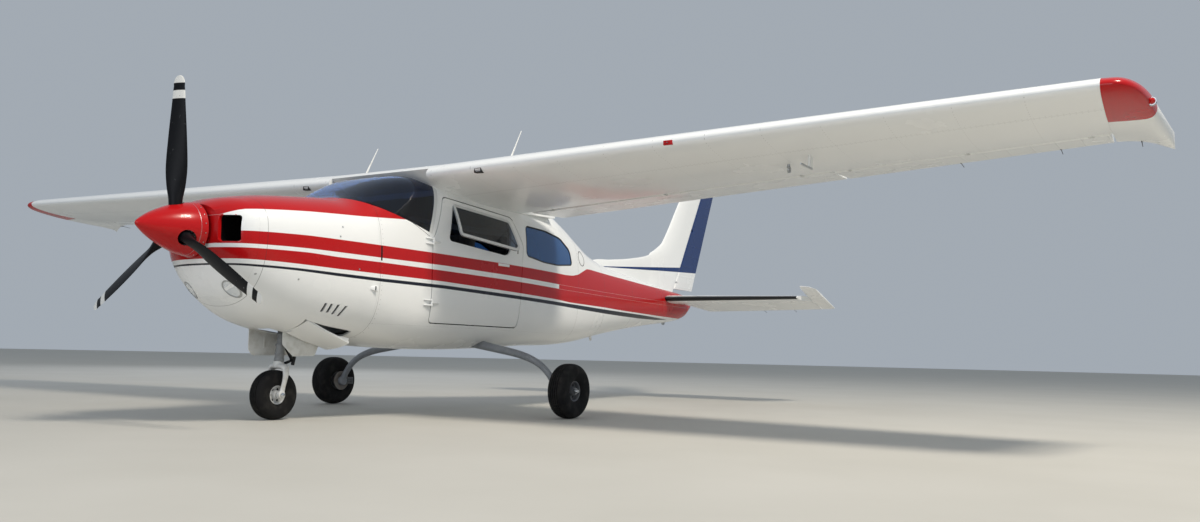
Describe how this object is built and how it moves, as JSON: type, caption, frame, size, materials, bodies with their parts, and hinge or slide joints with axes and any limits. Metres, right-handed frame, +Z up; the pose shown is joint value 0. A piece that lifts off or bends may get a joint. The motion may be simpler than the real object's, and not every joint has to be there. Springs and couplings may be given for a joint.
{
  "type": "light aircraft",
  "caption": "High-wing propeller aircraft with an unbraced wing, enclosed cabin, opening doors and lowered wheel landing gear.",
  "frame": {"origin": "on the ground plane under the aircraft, midway between the wing tips and midway between the spinner's tip and the aft end of the rudder", "axes": "+Z up, the nose points towards -Y, +X is the aircraft's left wing"},
  "size_m": [11.2, 8.585, 2.95],
  "materials": {
    "skin_white": "gloss white paint on riveted sheet",
    "skin_red": "gloss red paint on sheet",
    "skin_navy": "gloss navy paint on sheet",
    "tip_plastic": "gloss paint on moulded fairing",
    "blade_black": "satin black paint with white and black tip bands",
    "steel": "painted and bare steel",
    "engine": "dull grey",
    "window": "clear acrylic sheet, faintly grey",
    "panel_plastic": "matte black",
    "seat_cloth": "woven grey upholstery",
    "cabin_cloth": "light grey lining",
    "floor_sheet": "dark carpet over a sheet floor",
    "tyre": "matte rubber with circumferential grooves",
    "rim_white": "white painted casting"
  },
  "bodies": {
    "airframe": {"nose_bowl": "skin_red", "cowl_upper": "skin_white", "cowl_lower": "skin_white", "firewall": "steel", "engine_block": "engine", "belly": "skin_white", "cabin_side_left": "skin_white", "cabin_side_right": "skin_white", "cabin_floor": "floor_sheet", "aft_bulkhead": "cabin_cloth", "cabin_roof": "skin_white", "wing_left": "skin_white", "wing_right": "skin_white", "wing_tip_left": "tip_plastic", "wing_tip_right": "tip_plastic", "aerial_left": "panel_plastic", "aerial_right": "panel_plastic", "pitot_tube": "steel", "rear_window_left": "window", "rear_window_right": "window", "windshield": "window", "instrument_panel": "panel_plastic", "seat_front_left": "seat_cloth", "seat_front_right": "seat_cloth", "seat_middle_left": "seat_cloth", "seat_middle_right": "seat_cloth", "seat_rear": "seat_cloth", "tail_cone": "skin_white", "tail_cap": "tip_plastic", "stabiliser_left": "skin_white", "stabiliser_right": "skin_white", "fin": "skin_white", "nose_strut": "steel", "nose_door_left": "skin_white", "nose_door_right": "skin_white", "main_leg_left": "steel", "main_leg_right": "steel"},
    "propeller": {"propeller": "blade_black", "spinner": "skin_red"},
    "cowl_flap_left": {"cowl_flap_left": "skin_white"},
    "cowl_flap_right": {"cowl_flap_right": "skin_white"},
    "door_left": {"door_left": "skin_white", "door_window_left": "window"},
    "door_right": {"door_right": "skin_white", "door_window_right": "window"},
    "flap_left": {"flap_left": "skin_white"},
    "flap_right": {"flap_right": "skin_white"},
    "aileron_left": {"aileron_left": "skin_white"},
    "aileron_right": {"aileron_right": "skin_white"},
    "elevator": {"elevator": "skin_white"},
    "rudder": {"rudder": "skin_navy"},
    "nose_fork": {"nose_fork": "steel"},
    "nose_wheel": {"nose_tyre": "tyre", "nose_rim": "rim_white"},
    "main_wheel_left": {"main_tyre_left": "tyre", "main_rim_left": "rim_white"},
    "main_wheel_right": {"main_tyre_right": "tyre", "main_rim_right": "rim_white"}
  },
  "joints": [
    {"name": "propeller_spin", "type": "hinge", "parent": "airframe", "child": "propeller", "pos_m": [0, -4.0105, 1.294], "axis": [0, 1, 0], "continuous": true},
    {"name": "nose_steer", "type": "hinge", "parent": "airframe", "child": "nose_fork", "pos_m": [0, -3.1405, 0.18], "axis": [0, 0.1045, 0.9945], "range_deg": [-30, 30]},
    {"name": "nose_wheel_spin", "type": "hinge", "parent": "nose_fork", "child": "nose_wheel", "pos_m": [0, -3.1525, 0.18], "axis": [1, 0, 0], "continuous": true},
    {"name": "main_wheel_left_spin", "type": "hinge", "parent": "airframe", "child": "main_wheel_left", "pos_m": [1.35, -1.3125, 0.222], "axis": [1, 0, 0], "continuous": true},
    {"name": "main_wheel_right_spin", "type": "hinge", "parent": "airframe", "child": "main_wheel_right", "pos_m": [-1.35, -1.3125, 0.222], "axis": [1, 0, 0], "continuous": true},
    {"name": "door_left_hinge", "type": "hinge", "parent": "airframe", "child": "door_left", "pos_m": [0.592, -2.1425, 1.1425], "axis": [0, 0, -1], "range_deg": [0, 80]},
    {"name": "door_right_hinge", "type": "hinge", "parent": "airframe", "child": "door_right", "pos_m": [-0.592, -2.1425, 1.1425], "axis": [0, 0, 1], "range_deg": [0, 80]},
    {"name": "flap_left_hinge", "type": "hinge", "parent": "airframe", "child": "flap_left", "pos_m": [0.625, -0.86197, 1.84858], "axis": [-0.9955, 0.09, -0.0305], "range_deg": [0, 30]},
    {"name": "flap_right_hinge", "type": "hinge", "parent": "airframe", "child": "flap_right", "pos_m": [-0.625, -0.86197, 1.84858], "axis": [-0.9955, -0.09, 0.0305], "range_deg": [0, 30]},
    {"name": "aileron_left_hinge", "type": "hinge", "parent": "airframe", "child": "aileron_left", "pos_m": [3.474, -1.07693, 1.93124], "axis": [0.9951, -0.0942, 0.0308], "range_deg": [-17, 17]},
    {"name": "aileron_right_hinge", "type": "hinge", "parent": "airframe", "child": "aileron_right", "pos_m": [-3.474, -1.07693, 1.93124], "axis": [0.9951, 0.0942, -0.0308], "range_deg": [-17, 17]},
    {"name": "elevator_hinge", "type": "hinge", "parent": "airframe", "child": "elevator", "pos_m": [0, 3.1275, 1.218], "axis": [1, 0, 0], "range_deg": [-2, 38]},
    {"name": "rudder_hinge", "type": "hinge", "parent": "airframe", "child": "rudder", "pos_m": [0, 3.0455, 1.372], "axis": [0, 0.5145, 0.8575], "range_deg": [-24, 24]},
    {"name": "cowl_flap_left_hinge", "type": "hinge", "parent": "airframe", "child": "cowl_flap_left", "pos_m": [0.175, -3.1945, 0.64701], "axis": [1, 0, 0], "range_deg": [0, 12]},
    {"name": "cowl_flap_right_hinge", "type": "hinge", "parent": "airframe", "child": "cowl_flap_right", "pos_m": [-0.175, -3.1945, 0.64701], "axis": [1, 0, 0], "range_deg": [0, 12]}
  ],
  "couplings": [
    {"joint": "flap_right_hinge", "follows": "flap_left_hinge", "ratio": 1},
    {"joint": "aileron_right_hinge", "follows": "aileron_left_hinge", "ratio": -1},
    {"joint": "cowl_flap_right_hinge", "follows": "cowl_flap_left_hinge", "ratio": 1}
  ]
}
